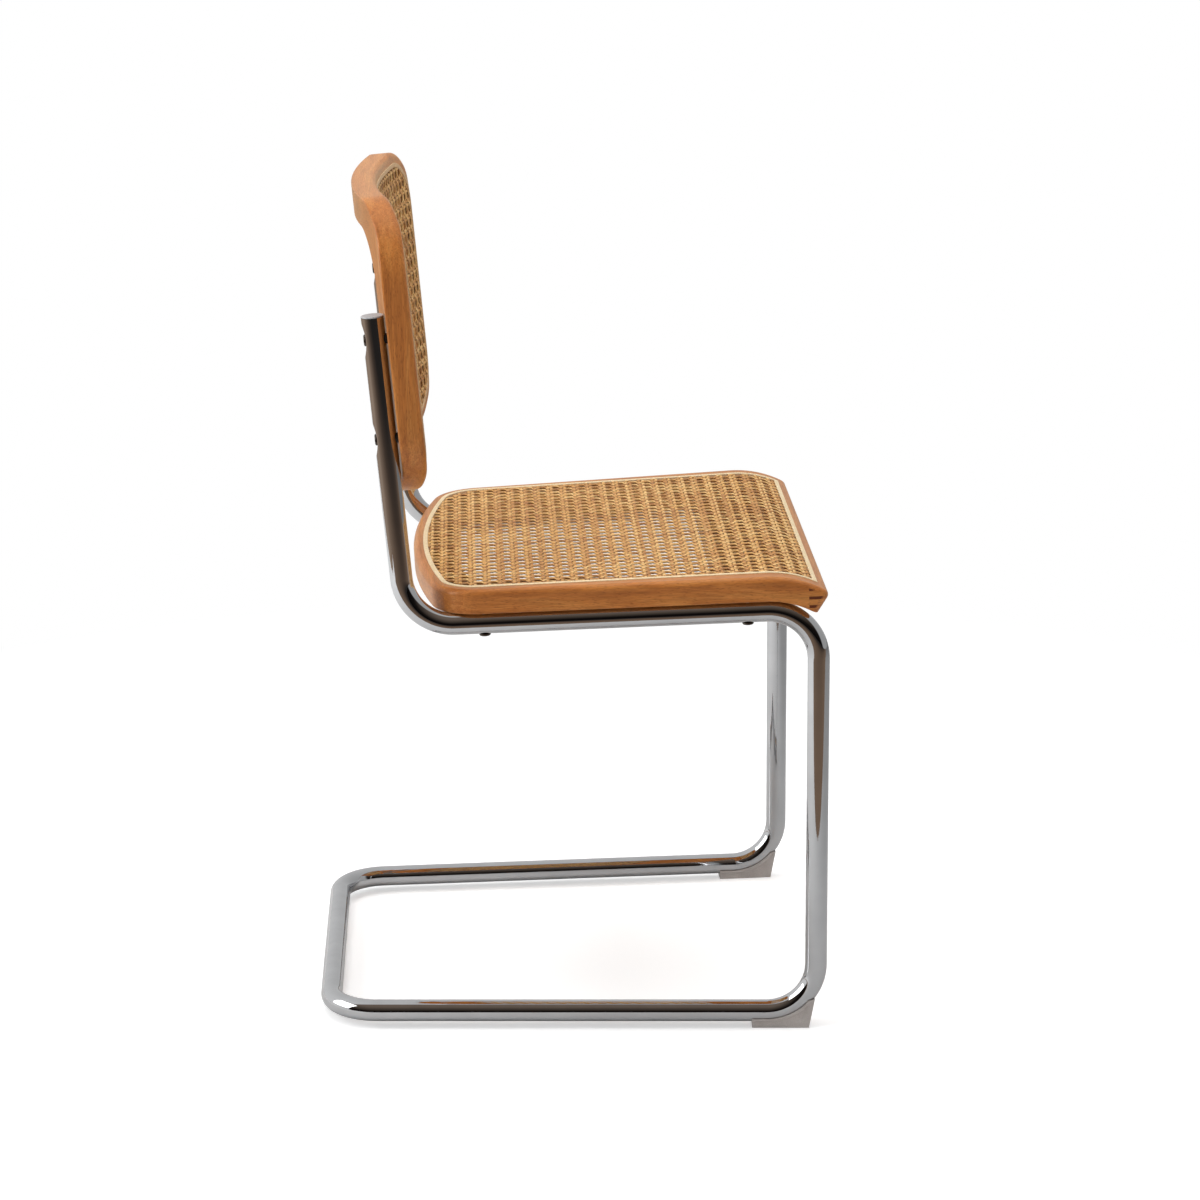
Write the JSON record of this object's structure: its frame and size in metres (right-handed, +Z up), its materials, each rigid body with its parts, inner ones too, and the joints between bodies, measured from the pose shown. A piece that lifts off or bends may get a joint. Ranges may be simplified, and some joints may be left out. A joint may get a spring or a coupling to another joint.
{
  "type": "cantilever dining chair",
  "caption": "Cantilever dining chair: a bent chromed tube carries a wooden seat with a rolled front and a bowed wooden back, both filled with woven cane.",
  "frame": {"origin": "on the floor, below the middle of the whole chair's box", "axes": "+Z up, the chair faces -Y, +X is the sitter's left"},
  "size_m": [0.4616, 0.5128, 0.8382],
  "materials": {
    "chromed_tube": "bright chrome plate",
    "cap_plastic": "satin moulded plastic",
    "glide_plastic": "warm grey moulded plastic",
    "beech": "stained and clear lacquered",
    "cane": "natural woven cane",
    "reed": "natural pale reed",
    "dark_screw": "blackened steel",
    "zinc_insert": "zinc plated steel",
    "dark_washer": "black plastic"
  },
  "bodies": {
    "root": {"tube_frame": "chromed_tube", "tube_end_cap_left": "cap_plastic", "tube_end_cap_right": "cap_plastic", "front_glide_left": "glide_plastic", "front_glide_right": "glide_plastic", "rear_glide_left": "glide_plastic", "rear_glide_right": "glide_plastic", "seat_side_rail_left": "beech", "seat_side_rail_right": "beech", "seat_front_rail": "beech", "seat_rear_rail": "beech", "seat_cane": "cane", "seat_spline_sides": "reed", "seat_spline_front": "reed", "seat_screws": "dark_screw", "seat_inserts": "zinc_insert", "back_stile_left": "beech", "back_stile_right": "beech", "back_top_rail": "beech", "back_bottom_rail": "beech", "back_cane": "cane", "back_spline": "reed", "back_screws": "dark_screw", "back_spacers": "dark_washer", "back_inserts": "zinc_insert"}
  },
  "joints": []
}
